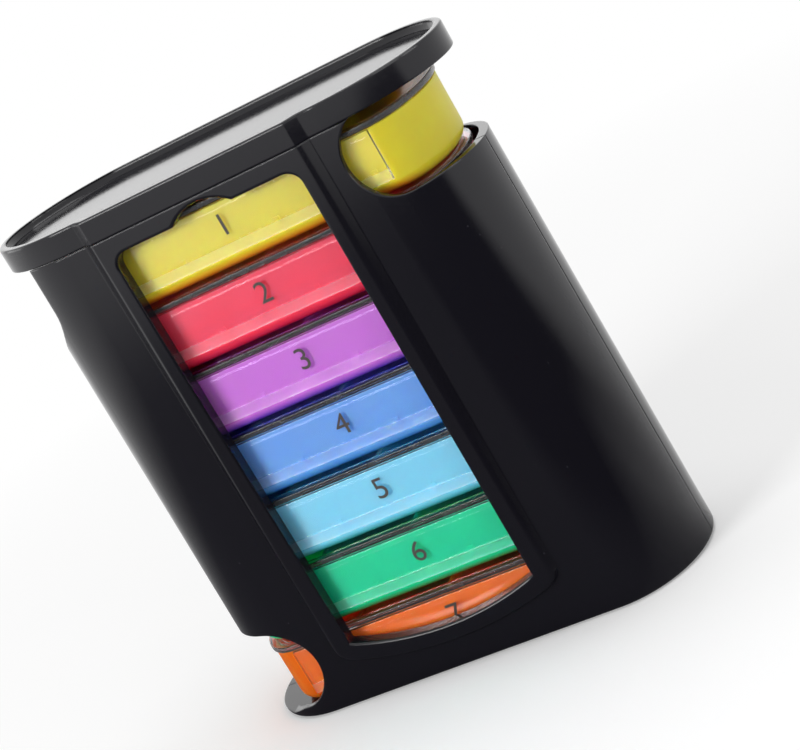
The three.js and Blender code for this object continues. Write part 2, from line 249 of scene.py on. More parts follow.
class Solid:
    """A closed mesh that other closed meshes can join or cut."""

    def __init__(self, mesh: bpy.types.Mesh) -> None:
        """Keeps the mesh."""
        self.mesh = mesh

    @classmethod
    def loft(cls, levels: Sequence[Level], lay: Lay = Lay.UP) -> Solid:
        """Closed skin through outlines of equal point count.

        Args:
            levels: Outlines with their heights, in order along the stack.
            lay: Which way the stack is laid.

        Returns:
            The solid.
        """
        bm = bmesh.new()
        rings = []
        for outline, height in levels:
            rings.append([bm.verts.new(lay.place(a, b, height)) for a, b in outline])
        for low, high in zip(rings, rings[1:]):
            for i in range(len(low)):
                j = (i + 1) % len(low)
                bm.faces.new((low[i], low[j], high[j], high[i]))
        bm.faces.new(rings[0])
        bm.faces.new(rings[-1])
        bmesh.ops.recalc_face_normals(bm, faces=bm.faces)
        mesh = bpy.data.meshes.new("loft")
        bm.to_mesh(mesh)
        bm.free()
        return cls(mesh)

    @classmethod
    def block(cls, low: Sequence[float], high: Sequence[float]) -> Solid:
        """Box between two corners.

        Args:
            low: Lowest corner.
            high: Highest corner.

        Returns:
            The solid.
        """
        outline = [(low[0], low[1]), (high[0], low[1]), (high[0], high[1]), (low[0], high[1])]
        return cls.loft([(outline, low[2]), (outline, high[2])])

    def _with(self, other: Solid, operation: str) -> Solid:
        """Joins, cuts or meets this solid with another.

        Args:
            other: The second solid.
            operation: Name of the boolean operation.

        Returns:
            The result.
        """
        host, tool = (linked("solid", solid.mesh) for solid in (self, other))
        step = host.modifiers.new("step", "BOOLEAN")
        step.operation, step.solver, step.object = operation, "EXACT", tool
        graph = bpy.context.evaluated_depsgraph_get()
        mesh = bpy.data.meshes.new_from_object(host.evaluated_get(graph))
        for item in (host, tool):
            bpy.data.objects.remove(item)
        return Solid(mesh)

    def __add__(self, other: Solid) -> Solid:
        """Both solids as one."""
        return self._with(other, "UNION")

    def __sub__(self, other: Solid) -> Solid:
        """This solid without the other."""
        return self._with(other, "DIFFERENCE")

    def __and__(self, other: Solid) -> Solid:
        """What both solids share."""
        return self._with(other, "INTERSECT")

    def shown(self, name: str, lift: float = 0.0, smooth_below: float = 32.0) -> bpy.types.Object:
        """Makes the solid a shown object with smooth rounds and sharp corners.

        Args:
            name: Name of the object.
            lift: Height to raise it by.
            smooth_below: Angle in degrees under which neighbouring faces shade as one.

        Returns:
            The object, linked to the scene.
        """
        mesh = self.mesh.copy()
        mesh.name = name
        mesh.transform(Matrix.Translation((0, 0, lift * MM)))
        mesh.shade_smooth()
        mesh.set_sharp_from_angle(angle=math.radians(smooth_below))
        item = linked(name, mesh)
        # Large flat faces stay flat to the eye next to small rounds.
        item.modifiers.new("flat_faces", "WEIGHTED_NORMAL").keep_sharp = True
        return item


def dress(
    item: bpy.types.Object, material: bpy.types.Material, body: str, slot: str, *nodes: str
) -> None:
    """Gives a piece its finish and its place in the frame.

    Args:
        item: The piece.
        material: Its material.
        body: Body of the part that it moves with.
        slot: Material slot of the record; not used.
        nodes: Solids that it stands for.
    """
    item.data.materials.clear()
    item.data.materials.append(material)
    if nodes:
        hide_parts(*nodes)
    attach(item, body)
    LOG.info("%s: %d faces on %s", item.name, len(item.data.polygons), body)


def quarter(radius: float, steps: int) -> list[Point]:
    """Insets and heights of a quarter round, from its foot up to the full outline.

    Args:
        radius: Radius of the round.
        steps: Number of steps in it.

    Returns:
        Pairs of inset and height.
    """
    angles = [math.pi * k / (2 * steps) for k in range(steps + 1)]
    return [(radius * (1 - math.sin(t)), radius * (1 - math.cos(t))) for t in angles]


@dataclass(frozen=True)
class EndedOutline:
    """Outline with straight sides and elliptical ends."""

    half: float
    half_depth: float
    end: float
    middle: float = 1.0
    steps: int = 44

    def inset(self, distance: float, sides: float | None = None) -> list[Point]:
        """Points of the outline, drawn in.

        Args:
            distance: How far to draw its ends in.
            sides: How far to draw its front and rear in, if not as far as the ends.

        Returns:
            The points, counter-clockwise from above.
        """
        sides = distance if sides is None else sides
        straight, end, depth = self.half - self.end, self.end - distance, self.half_depth - sides
        points = []
        for side in (1, -1):
            for i in range(self.steps + 1):
                angle = -side * math.pi / 2 + math.pi * i / self.steps
                a, b = side * straight + end * math.cos(angle), self.middle + depth * math.sin(angle)
                points.append((a, b))
        return points

    def rounded(self, low: float, high: float, radius: float, steps: int = 4) -> list[Level]:
        """Levels of a plate of this outline with both edges rounded.

        Args:
            low: Height of the lower face.
            high: Height of the upper face.
            radius: Radius of both rounds.
            steps: Steps in each round.

        Returns:
            Levels for a loft.
        """
        rounds = quarter(radius, steps)
        lower = [(self.inset(d), low + h) for d, h in rounds]
        return lower + [(self.inset(d), high - h) for d, h in reversed(rounds)]


@dataclass(frozen=True)
class MouldedPolystyrene:
    """High-impact polystyrene, black in the mass, moulded in a polished tool.

    The eye gets a deep black with mirror-like, slightly wavy reflections, soft bright lines along the
    edges and a few specks of dust.
    """

    name: str = "black_polystyrene_moulded"
    colour: str = "#121117"
    dust: str = "#55535a"
    roughness: float = 0.12
    ior: float = 1.45
    edge_mm: float = 0.5
    wave_mm: float = 14.0
    grain_mm: float = 0.4
    dust_mm: float = 5.0
    speck_mm: float = 0.11
    wave_detail: float = 1.0
    wave_strength: float = 0.12
    wave_height_mm: float = 0.1
    gloss_play: float = 0.03

    def build(self) -> bpy.types.Material:
        """Makes the material."""
        material, tree = bare_material(self.name)
        place = add_node(tree, "ShaderNodeTexCoord").outputs["Object"]
        # Softened edges catch the light as a moulded edge does.
        edge = add_node(tree, "ShaderNodeBevel", {"Radius": self.edge_mm * MM}, samples=6)
        bump = add_node(
            tree,
            "ShaderNodeBump",
            {
                "Strength": self.wave_strength,
                "Distance": self.wave_height_mm * MM,
                "Height": noise(tree, place, self.wave_mm, self.wave_detail),
                "Normal": edge.outputs[0],
            },
        )
        # The grain is finer than the render shows and only varies the gloss.
        play = (self.roughness - self.gloss_play, self.roughness + self.gloss_play)
        gloss = ramp(tree, noise(tree, place, self.grain_mm), NOISE_SPAN, play)
        cells = {"Vector": place, "Scale": per_spacing(self.dust_mm)}
        specks = add_node(tree, "ShaderNodeTexVoronoi", cells).outputs["Distance"]
        near = reckon(tree, "LESS_THAN", specks, self.speck_mm / self.dust_mm)
        shader = add_node(
            tree,
            "ShaderNodeBsdfPrincipled",
            {
                "Base Color": blend(tree, near, linear(self.colour), linear(self.dust)),
                "Roughness": gloss,
                "IOR": self.ior,
                "Normal": bump.outputs[0],
            },
        )
        add_node(tree, "ShaderNodeOutputMaterial", {"Surface": shader.outputs[0]})
        return material


@dataclass(frozen=True)
class ClearPolystyrene:
    """General-purpose polystyrene, clear, moulded.

    The eye gets a glassy sheet with bright edges, and a milky haze where it is frosted.
    """

    name: str = "clear_polystyrene_moulded"
    colour: str = "#fbfaff"
    shade: str = "#f4f3f6"
    clearness: float = 0.995
    roughness: float = 0.04
    ior: float = 1.45
    streak_mm: float = 7.0
    streak_gain: float = 2.0
    edge_mm: float = 0.2

    def build(self) -> bpy.types.Material:
        """Makes the material."""
        material, tree = bare_material(self.name)
        place = add_node(tree, "ShaderNodeTexCoord").outputs["Object"]
        play = (self.roughness, self.roughness * self.streak_gain)
        gloss = ramp(tree, noise(tree, place, self.streak_mm), NOISE_SPAN, play)
        edge = add_node(tree, "ShaderNodeBevel", {"Radius": self.edge_mm * MM}, samples=4)
        shader = add_node(
            tree,
            "ShaderNodeBsdfPrincipled",
            {
                "Base Color": linear(self.colour),
                "Roughness": gloss,
                "IOR": self.ior,
                "Transmission Weight": self.clearness,
                "Normal": edge.outputs[0],
            },
        )
        # Lamps shine through the sheet almost unshaded, as they do through thin plastic.
        clear = add_node(tree, "ShaderNodeBsdfTransparent", {"Color": linear(self.shade)})
        path = add_node(tree, "ShaderNodeLightPath")
        parts = {0: path.outputs["Is Shadow Ray"], 1: shader.outputs[0], 2: clear.outputs[0]}
        mixed = add_node(tree, "ShaderNodeMixShader", parts)
        add_node(tree, "ShaderNodeOutputMaterial", {"Surface": mixed.outputs[0]})
        return material


@dataclass(frozen=True)
class TintedPolypropylene:
    """Polypropylene, coloured in the mass, moulded with a satin skin.

    The eye gets a strong even colour that glows, and at its foot a painted shade, tinted like light bounced
    from the tray below it.
    """

    name: str
    colour: str
    deep: str
    # Colour of the painted shade at the foot, tinted like light bounced from the tray below.
    foot: str
    spread: Triple
    roughness: float = 0.4
    ior: float = 1.3
    cloud_mm: float = 9.0
    glow_mm: float = 5.0
    cloud_span: Point = (0.35, 0.65)
    cloud_share: float = 0.25
    glow: float = 1.0
    # Heights of the foot over which the painted shade fades out.
    foot_shade_mm: Point = (0.8, 2.9)
    height_mm: float = 15.2
    # Shares of the length, from the middle, over which the painted foot shade fades out.
    covered: Point = (0.4, 0.45)

    def build(self) -> bpy.types.Material:
        """Makes the material."""
        material, tree = bare_material(f"{self.name}_polypropylene_moulded")
        place = add_node(tree, "ShaderNodeTexCoord").outputs
        cloud = noise(tree, place["Object"], self.cloud_mm)
        cloudy = ramp(tree, cloud, self.cloud_span, (0.0, self.cloud_share))
        colour = blend(tree, cloudy, linear(self.colour), linear(self.deep))
        # The foot gets a painted shade, tinted like light bounced from the tray below; only its middle gets
        # it, because both ends can stand in an opening of the case.
        across = add_node(tree, "ShaderNodeSeparateXYZ", {0: place["Generated"]}).outputs
        start, stop = (height / self.height_mm for height in self.foot_shade_mm)
        low = ramp(tree, across["Z"], (start, stop), (1.0, 0.0))
        aside = reckon(tree, "ABSOLUTE", reckon(tree, "SUBTRACT", across["X"], 0.5))
        inside = ramp(tree, aside, self.covered, (1.0, 0.0))
        with_foot_shade = blend(tree, reckon(tree, "MULTIPLY", low, inside), colour, linear(self.foot))
        shader = add_node(
            tree,
            "ShaderNodeBsdfPrincipled",
            {
                "Base Color": with_foot_shade,
                "Roughness": self.roughness,
                "IOR": self.ior,
                "Subsurface Weight": self.glow,
                "Subsurface Scale": self.glow_mm * MM,
                "Subsurface Radius": self.spread,
            },
        )
        add_node(tree, "ShaderNodeOutputMaterial", {"Surface": shader.outputs[0]})
        return material


@dataclass(frozen=True)
class PrintedInk:
    """Pad-printed ink, dark grey.

    The eye gets a flat, slightly uneven grey figure with no shine.
    """

    name: str = "dark_grey_ink_printed"
    colour: str = "#37302f"
    thin: str = "#4a4240"
    roughness: float = 0.6
    patch_mm: float = 0.8

    def build(self) -> bpy.types.Material:
        """Makes the material."""
        material, tree = bare_material(self.name)
        place = add_node(tree, "ShaderNodeTexCoord").outputs["Object"]
        patch = noise(tree, place, self.patch_mm)
        colour = blend(tree, patch, linear(self.colour), linear(self.thin))
        looks = {"Base Color": colour, "Roughness": self.roughness}
        shader = add_node(tree, "ShaderNodeBsdfPrincipled", looks)
        add_node(tree, "ShaderNodeOutputMaterial", {"Surface": shader.outputs[0]})
        return material


@dataclass
class Case:
    """The black case: two shells that meet on the middle plane."""

    middle: float = 1.0
    half_depth: float = 21.5
    half_top: float = 55.8
    half_foot: float = 57.7
    end: float = 20.0
    top: float = 124.2
    wall: float = 1.5
    floor: float = 1.4
    seam: float = 0.3
    foot_round: float = 1.2
    cavity_half: float = 53.4
    cavity_draft: float = 0.8
    cavity_end: float = 15.2
    panel_rise: float = 2.0
    panel_half: float = 26.8
    panel_bevel: float = 2.7
    panel_flare: float = 1.6
    panel_low: float = 7.2
    panel_low_bevel: float = 0.5
    panel_arc: float = 90.0
    panel_corner: Point = (4.0, 3.0)
    panel_edge: float = 0.8
    panel_top_edge: float = 0.25
    window_half: float = 24.0
    window_top: float = 120.0
    window_low: float = 11.8
    window_arc: float = 74.0
    window_corner: float = 3.4
    window_edge: float = 0.6
    notch: Point = (7.6, 2.9)
    hole_radius: float = 10.45
    top_hole: Point = (43.75, 115.05)
    low_hole: Point = (-45.35, 13.45)
    low_flare: float = 2.0
    low_ramp: float = 5.0
    finger: Triple = (18.0, 113.0, 13.8)
    overrun: float = 3.0
    corner_steps: int = 10
    arc_steps: int = 12
    curve_steps: int = 16
    shells: list[bpy.types.Object] = field(default_factory=list)

    def panel_outline(self, half: float, top_half: float, low: float) -> list[Point]:
        """Outline of the raised panel, whose foot is a shallow arc that turns up at both corners.

        Args:
            half: Half of its width at the corners.
            top_half: Half of its width at the top.
            low: Height of its lowest point.

        Returns:
            The points.
        """
        reach, rise = self.panel_corner
        turn = half - reach

        def arc(x: float) -> float:
            """Height of the foot's arc at one place across."""
            return low + self.panel_arc - math.sqrt(self.panel_arc**2 - x**2)

        slope = turn / math.sqrt(self.panel_arc**2 - turn**2)
        start, knee = Vector((turn, arc(turn))), Vector((half, arc(turn) + slope * reach))
        stop = knee + Vector((0, rise))
        corner = []
        for k in range(self.corner_steps + 1):
            t = k / self.corner_steps
            corner.append(tuple(start * (1 - t) ** 2 + knee * 2 * t * (1 - t) + stop * t**2))
        spots = [turn * (k / self.arc_steps - 1) for k in range(1, 2 * self.arc_steps)]
        across = [(x, arc(x)) for x in spots]
        left = [(-x, z) for x, z in reversed(corner)]
        return [(-top_half, self.top), *left, *across, *corner, (top_half, self.top)]

    def window_outline(self, grow: float) -> list[Point]:
        """Outline of the window with its thumb notch, grown by one distance.

        Args:
            grow: How far to grow it.

        Returns:
            The points.
        """
        half, top, corner = self.window_half + grow, self.window_top + grow, self.window_corner + grow
        radius, centre = self.window_arc + grow, self.window_low + self.window_arc
        notch_half, notch_rise = self.notch[0] + grow, self.notch[1]
        notch_radius = (notch_half**2 + notch_rise**2) / (2 * notch_rise)
        spread, notch_spread = math.asin(half / radius), math.asin(notch_half / notch_radius)
        notch_centre, steps = top + notch_rise - notch_radius, self.curve_steps
        points = []
        for k in range(2 * steps + 1):
            t = spread * (k / steps - 1)
            points.append((radius * math.sin(t), centre - radius * math.cos(t)))
        quarter_turn = [math.pi * k / steps for k in range(steps // 2 + 1)]
        for t in quarter_turn:
            points.append((half - corner + corner * math.cos(t), top - corner + corner * math.sin(t)))
        for k in range(2 * self.corner_steps + 1):
            t = notch_spread * (1 - k / self.corner_steps)
            points.append((notch_radius * math.sin(t), notch_centre + notch_radius * math.cos(t)))
        for t in quarter_turn:
            points.append((corner - half - corner * math.sin(t), top - corner + corner * math.cos(t)))
        return points

    def walls(self) -> Solid:
        """The case's block with its raised panel, before it is hollowed."""
        foot = EndedOutline(self.half_foot, self.half_depth, self.end)
        top = EndedOutline(self.half_top, self.half_depth, self.end)
        levels = [(foot.inset(d), h) for d, h in quarter(self.foot_round, steps=6)]
        block = Solid.loft([*levels, (top.inset(0), self.top)])
        front = self.half_depth - self.middle
        outer = self.panel_half + self.panel_bevel
        skirt = self.panel_outline(outer, outer, self.panel_low)
        levels = [(skirt, front - self.wall / 2), (skirt, front)]
        for inset, below in reversed(quarter(self.panel_edge, steps=5)):
            rise = self.panel_rise - below
            share = rise / self.panel_rise
            half = outer - (self.panel_bevel - self.panel_flare) * share - inset
            top_half = outer - self.panel_bevel * share - inset * self.panel_top_edge
            low = self.panel_low + self.panel_low_bevel * share + inset
            levels.append((self.panel_outline(half, top_half, low), front + rise))
        return block + Solid.loft(levels, Lay.FRONT)

    def window_cutter(self) -> Solid:
        """Cutter for the window, flared where its front edge is rounded."""
        face = self.half_depth - self.middle + self.panel_rise
        rounds = reversed(quarter(self.window_edge, steps=4))
        levels = [(self.window_outline(0), face - self.panel_rise - self.wall - self.overrun)]
        levels += [(self.window_outline(d), face - h) for d, h in rounds]
        levels += [(self.window_outline(self.window_edge), face + self.overrun)]
        return Solid.loft(levels, Lay.FRONT)

    def hole_cutters(self) -> list[Solid]:
        """Cutters for the opening at the top right, the one at the bottom left and the finger hole."""
        r, far, deep = self.hole_radius, self.half_foot + self.overrun, self.half_depth + 2 * self.overrun
        x, z = self.top_hole
        half_turn = 2 * self.curve_steps
        turn = [math.pi * (0.5 + k / half_turn) for k in range(half_turn + 1)]
        upper = [(x + r * math.cos(t), z + r * math.sin(t)) for t in turn]
        upper += [(far, z - r), (far, z + r)]
        x, z = self.low_hole
        lower = [(x - r * math.cos(t), z + r * math.sin(t)) for t in reversed(turn)]
        edge, rise = -self.half_foot + self.low_flare, self.low_flare
        curl = [math.pi * k / self.curve_steps for k in range(self.curve_steps // 2 + 1)]
        lower += [(edge - rise * math.sin(t), z + r + rise * (1 - math.cos(t))) for t in curl]
        lower += [(-far, z + r + rise), (-far, self.floor), (x - self.low_ramp, self.floor)]
        half, level, reach = self.finger
        oval = [(self.middle - half * math.sin(t), level + reach * math.cos(t)) for t in turn]
        oval += [(self.middle + half, level + reach), (self.middle - half, level + reach)]
        through = [Solid.loft([(o, -deep), (o, deep)], Lay.FRONT) for o in (upper, lower)]
        return [*through, Solid.loft([(oval, -far), (oval, self.end - self.half_top)], Lay.RIGHT)]

    def build(self) -> None:
        """Hollows the case, cuts its openings and parts it into two shells."""
        inner, end, above = self.half_depth - self.wall, self.cavity_end, self.top + self.overrun
        cavity_low = EndedOutline(self.cavity_half + self.cavity_draft, inner, end).inset(0)
        cavity_high = EndedOutline(self.cavity_half, inner, end).inset(0)
        cavity = Solid.loft([(cavity_low, self.floor), (cavity_high, above)])
        whole = self.walls() - cavity - self.window_cutter()
        for cutter in self.hole_cutters():
            whole = whole - cutter
        far, gap = self.half_foot + self.overrun, self.seam / 2
        halves = {
            "front_shell": ((-far, -far, -far), (far, -gap, self.top + far)),
            "rear_shell": ((-far, gap, -far), (far, far, self.top + far)),
        }
        for node, (low, high) in halves.items():
            shell = whole & Solid.block(low, high)
            self.shells.append(shell.shown(f"{node}_moulded"))

    def dress(self, plastic: bpy.types.Material) -> None:
        """Gives both shells their finish.

        Args:
            plastic: Black plastic.
        """
        for shell in self.shells:
            dress(shell, plastic, "case", "black_plastic", shell.name.removesuffix("_moulded"))


@dataclass
class Cap:
    """The black cap: a plate with an upright rim, and two ribs below it."""

    half: float = 58.5
    half_depth: float = 21.5
    middle: float = 1.0
    end: float = 26.0
    low: float = 124.3
    high: float = 130.0
    rim: float = 1.8
    recess: float = 1.8
    edge: float = 0.45
    low_edge: float = 0.15
    panel_front: float = 22.5
    panel_half: float = 26.8
    panel_bevel: float = 2.7
    panel_rise: float = 2.0
    rib_half: float = 28.0
    rib_wall: float = 1.2
    rib_drop: float = 1.6
    rib_depth: float = 19.7
    overlap: float = 1.0

    def panel_plan(self, inset: float) -> list[Point]:
        """Plan of the panel where the cap carries it on, drawn in by one distance.

        Args:
            inset: How far to draw it in.

        Returns:
            The points.
        """
        front, inside = inset - self.panel_front, self.middle - self.half_depth + self.rim + inset
        spread = self.panel_bevel * (inside - front) / self.panel_rise
        half = self.panel_half - inset
        return [(-half, front), (half, front), (half + spread, inside), (-half - spread, inside)]

    def build(self, plastic: bpy.types.Material) -> None:
        """Makes the cap and gives it its finish.

        Args:
            plastic: Black plastic.
        """
        plan = EndedOutline(self.half, self.half_depth, self.end, self.middle)
        rounds = quarter(self.edge, steps=4)
        steps = [(d, self.low + h) for d, h in quarter(self.low_edge, steps=3)]
        steps += [(d, self.high - h) for d, h in reversed(rounds)]
        plate = Solid.loft([(plan.inset(d), z) for d, z in steps])
        plate = plate + Solid.loft([(self.panel_plan(d), z) for d, z in steps])
        floor = self.high - self.recess
        sunk = [(self.rim + self.edge, floor), (self.rim, floor + self.edge)]
        sunk += [(self.rim - self.edge + d, self.high - h) for d, h in reversed(rounds)]
        sunk += [(self.rim - self.edge, self.high + self.edge)]
        hollow = Solid.loft([(plan.inset(d), z) for d, z in sunk])
        hollow = hollow + Solid.loft([(self.panel_plan(d), z) for d, z in sunk])
        cap = plate - hollow
        for side in (1, -1):
            outer = self.middle + side * self.rib_depth
            span = sorted((outer, outer - side * self.rib_wall))
            low = (-self.rib_half, span[0], self.low - self.rib_drop)
            cap = cap + Solid.block(low, (self.rib_half, span[1], self.low + self.overlap))
        dress(cap.shown("top_cap_moulded"), plastic, "case", "black_plastic", "top_cap")


@dataclass(frozen=True)
class TrayLook:
    """Where a tray stands, what it is called and how it is coloured."""

    day: str
    slot: str
    colour: str
    deep: str
    # Colour of the painted shade at the tray's foot.
    foot: str
    figure: str
    spread: Triple
    body: str = "case"


# In each look the first colour is the plastic's own, the second a deeper tone for its cloudiness, the third
# the painted shade at its foot.
TRAY_LOOKS = (
    TrayLook("sunday", "yellow", "#d4c232", "#cbb01e", "#f07c10", "1", (1.0, 0.6, 0.1), "sunday_tray"),
    TrayLook("monday", "red", "#f23a54", "#e82e4a", "#d40c44", "2", (1.0, 0.15, 0.2)),
    TrayLook("tuesday", "purple", "#ba6cc6", "#b060bc", "#6638cc", "3", (0.7, 0.3, 0.9)),
    TrayLook("wednesday", "blue", "#669ade", "#568cd8", "#2c84dc", "4", (0.15, 0.5, 1.0)),
    TrayLook("thursday", "light_blue", "#7cc8ee", "#6cbeea", "#20acac", "5", (0.2, 0.8, 1.0)),
    TrayLook("friday", "green", "#00c88e", "#00be82", "#4c7c1c", "6", (0.1, 1.0, 0.6)),
    TrayLook("saturday", "orange", "#ee6a10", "#e05c06", "#e05c06", "7", (1.0, 0.35, 0.05), "saturday_tray"),
)


@dataclass
class TrayStack:
    """Seven trays, each with a clear lid, a clear label plate and a printed figure."""

    floor: float = 1.7
    pitch: float = 17.2
    tub_plan: EndedOutline = EndedOutline(51.0, 18.2, 11.0)
    lid_plan: EndedOutline = EndedOutline(51.3, 19.2, 11.3)
    tub_height: float = 15.2
    tub_wall: float = 1.2
    tub_round: float = 3.0
    tub_side_round: float = 5.5
    rim_edge: float = 0.25
    divider: float = 1.1
    divider_drop: float = 1.7
    compartments: int = 4
    latch: tuple[float, float, float, float] = (1.3, 4.3, 6.8, 0.22)
    lid_low: float = 15.5
    lid_high: float = 16.9
    lid_edge: float = 0.3
    lip: Triple = (0.3, 0.9, 1.0)
    label_half: float = 40.6
    label_back: float = 17.5
    label_thick: float = 0.8
    label_foot: float = 3.4
    strip: float = 2.6
    border: float = 1.2
    proud: float = 0.15
    figure_height: float = 5.2
    figure_middle: float = 10.1
    figure_shift: float = 1.0
    figure_thick: float = 0.04
    figure_share: float = 0.72
    soft: float = 0.15
    upright: float = 0.5
    facing: float = 0.9
    overlap: float = 0.3
    overrun: float = 1.0

    def tub(self) -> Solid:
        """A coloured tray with its compartments and the latches that hold the label plate."""
        plan, wall = self.tub_plan, self.tub_wall
        steep = self.tub_side_round / self.tub_round
        inner_steep = (self.tub_side_round - wall) / (self.tub_round - wall)
        levels = [(plan.inset(d, d * steep), h) for d, h in quarter(self.tub_round, steps=10)]
        edge = reversed(quarter(self.rim_edge, steps=2))
        rim = [(plan.inset(d), self.tub_height - h) for d, h in edge]
        inner = quarter(self.tub_round - wall, steps=7)
        hollow = [(plan.inset(wall + d, wall + d * inner_steep), wall + h) for d, h in inner]
        pockets = Solid.loft([*hollow, (plan.inset(wall), self.tub_height + self.overrun)])
        inner_half = plan.half - wall
        for k in range(1, self.compartments):
            x, half = inner_half * (2 * k / self.compartments - 1), self.divider / 2
            far, top = plan.half_depth + plan.middle + self.overrun, self.tub_height - self.divider_drop
            pockets = pockets - Solid.block((x - half, -far, 0), (x + half, far, top))
        tub = Solid.loft([*levels, *rim]) - pockets
        wide, low, high, proud = self.latch
        face = plan.middle - plan.half_depth
        for k in range(self.compartments):
            x = inner_half * ((2 * k + 1) / self.compartments - 1)
            corner = (x + wide / 2, face + self.overlap, high)
            tub = tub + Solid.block((x - wide / 2, face - proud, low), corner)
        return tub

    def lid(self) -> Solid:
        """A clear lid with a lip that drops into the tray."""
        slab = Solid.loft(self.lid_plan.rounded(self.lid_low, self.lid_high, self.lid_edge, steps=3))
        gap, thick, drop = self.lip
        outer, inner = (self.tub_plan.inset(self.tub_wall + d) for d in (gap, gap + thick))
        foot = self.lid_low - drop
        ring = Solid.loft([(outer, foot), (outer, self.lid_low + self.overlap)])
        return slab + (ring - Solid.loft([(inner, foot - self.overrun), (inner, self.lid_low)]))

    def label(self) -> Solid:
        """A clear label plate with a strip along its foot and a border along its top and ends."""
        front, back, top = -self.label_back - self.label_thick, -self.label_back, self.tub_height
        proud, foot, soft = front - self.proud, self.label_foot, self.soft
        outline = [
            (proud, foot + soft),
            (proud + soft, foot),
            (back, foot),
            (back, top),
            (proud + soft, top),
            (proud, top - soft),
            (proud, top - self.border),
            (front, top - self.border - self.proud),
            (front, foot + self.strip + self.proud),
            (proud, foot + self.strip),
        ]
        plate = Solid.loft([(outline, -self.label_half), (outline, self.label_half)], Lay.RIGHT)
        for side in (1, -1):
            span = sorted((side * self.label_half, side * (self.label_half - self.border)))
            plate = plate + Solid.block((span[0], proud, foot + soft), (span[1], back, top - soft))
        return plate

    def figure(self, sign: str, name: str, lift: float) -> bpy.types.Object:
        """A printed figure on the front of a label plate.

        Args:
            sign: The figure.
            name: Name of the object.
            lift: Height of the tray's foot.

        Returns:
            The object, linked to the scene.
        """
        curve = bpy.data.curves.new(name, "FONT")
        curve.body, curve.align_x, curve.align_y = sign, "CENTER", "CENTER"
        curve.size, curve.extrude = self.figure_height / self.figure_share, self.figure_thick / 2
        draft = linked(name, curve)
        graph = bpy.context.evaluated_depsgraph_get()
        mesh = bpy.data.meshes.new_from_object(draft.evaluated_get(graph))
        bpy.data.objects.remove(draft)
        front = -self.label_back - self.label_thick - self.figure_thick
        place = Matrix.Translation(Vector((self.figure_shift, front, lift + self.figure_middle)) * MM)
        mesh.transform(place @ Matrix.Rotation(math.pi / 2, 4, "X") @ Matrix.Scale(MM, 4))
        return linked(name, mesh)

    def frost_edge(self, lid: bpy.types.Object, hazy: bpy.types.Material) -> None:
        """Gives the outer edge of a lid a hazy finish.

        Args:
            lid: The lid.
            hazy: Slightly frosted plastic.
        """
        lid.data.materials.append(hazy)
        plan = self.lid_plan
        inner, straight = plan.half_depth - self.tub_wall, plan.half - plan.end
        for face in lid.data.polygons:
            across, along = face.center.y / MM - plan.middle, face.center.x / MM
            outside = abs(across) > inner or abs(along) > straight
            if outside and abs(face.normal.z) < self.upright:
                face.material_index = 1

    def frost_strip(self, plate: bpy.types.Object, frosted: bpy.types.Material, lift: float) -> None:
        """Gives the front of the strip along a label plate's foot a frosted finish.

        Args:
            plate: The label plate.
            frosted: Frosted plastic.
            lift: Height of the tray's foot.
        """
        plate.data.materials.append(frosted)
        low, high = lift + self.label_foot, lift + self.label_foot + self.strip
        for face in plate.data.polygons:
            if face.normal.y < -self.facing and low < face.center.z / MM < high:
                face.material_index = 1

    def build(self) -> None:
        """Makes all trays and gives them their finishes."""
        clear, ink = ClearPolystyrene().build(), PrintedInk().build()
        frosted = ClearPolystyrene("clear_polystyrene_frosted", clearness=0.95, roughness=0.3).build()
        hazy = ClearPolystyrene("clear_polystyrene_hazy", clearness=0.97, roughness=0.16).build()
        tub, lid, label = self.tub(), self.lid(), self.label()
        for i, look in enumerate(TRAY_LOOKS):
            lift = self.floor + self.pitch * (len(TRAY_LOOKS) - 1 - i)
            tint = TintedPolypropylene(look.slot, look.colour, look.deep, look.foot, look.spread)
            tray = tub.shown(f"tray_{look.day}_moulded", lift)
            dress(tray, tint.build(), look.body, f"{look.slot}_plastic", f"tray_{look.day}")
            cover = lid.shown(f"lid_{look.day}_moulded", lift)
            dress(cover, clear, look.body, "clear_plastic", f"lid_{look.day}")
            self.frost_edge(cover, hazy)
            plate = label.shown(f"label_{look.day}_moulded", lift)
            dress(plate, clear, look.body, "clear_plastic", f"label_{look.day}")
            self.frost_strip(plate, frosted, lift)
            figure = self.figure(look.figure, f"figure_{look.figure}_printed", lift)
            dress(figure, ink, look.body, "black_plastic")


@dataclass(frozen=True)
class SoftLamp:
    """A square or oblong lamp that faces the object."""

    name: str
    spot: Triple
    size: Point
    watts: float
    aim: Triple = (0.0, 0.0, 0.065)

    def build(self) -> None:
        """Hangs the lamp, out of the camera's sight."""
        light = bpy.data.lights.new(self.name, "AREA")
        light.shape, light.size, light.size_y = "RECTANGLE", *self.size
        light.energy = self.watts
        item = linked(self.name, light)
        item.location = self.spot
        item.rotation_euler = (Vector(self.aim) - Vector(self.spot)).to_track_quat("-Z", "Y").to_euler()
        item.visible_camera = False


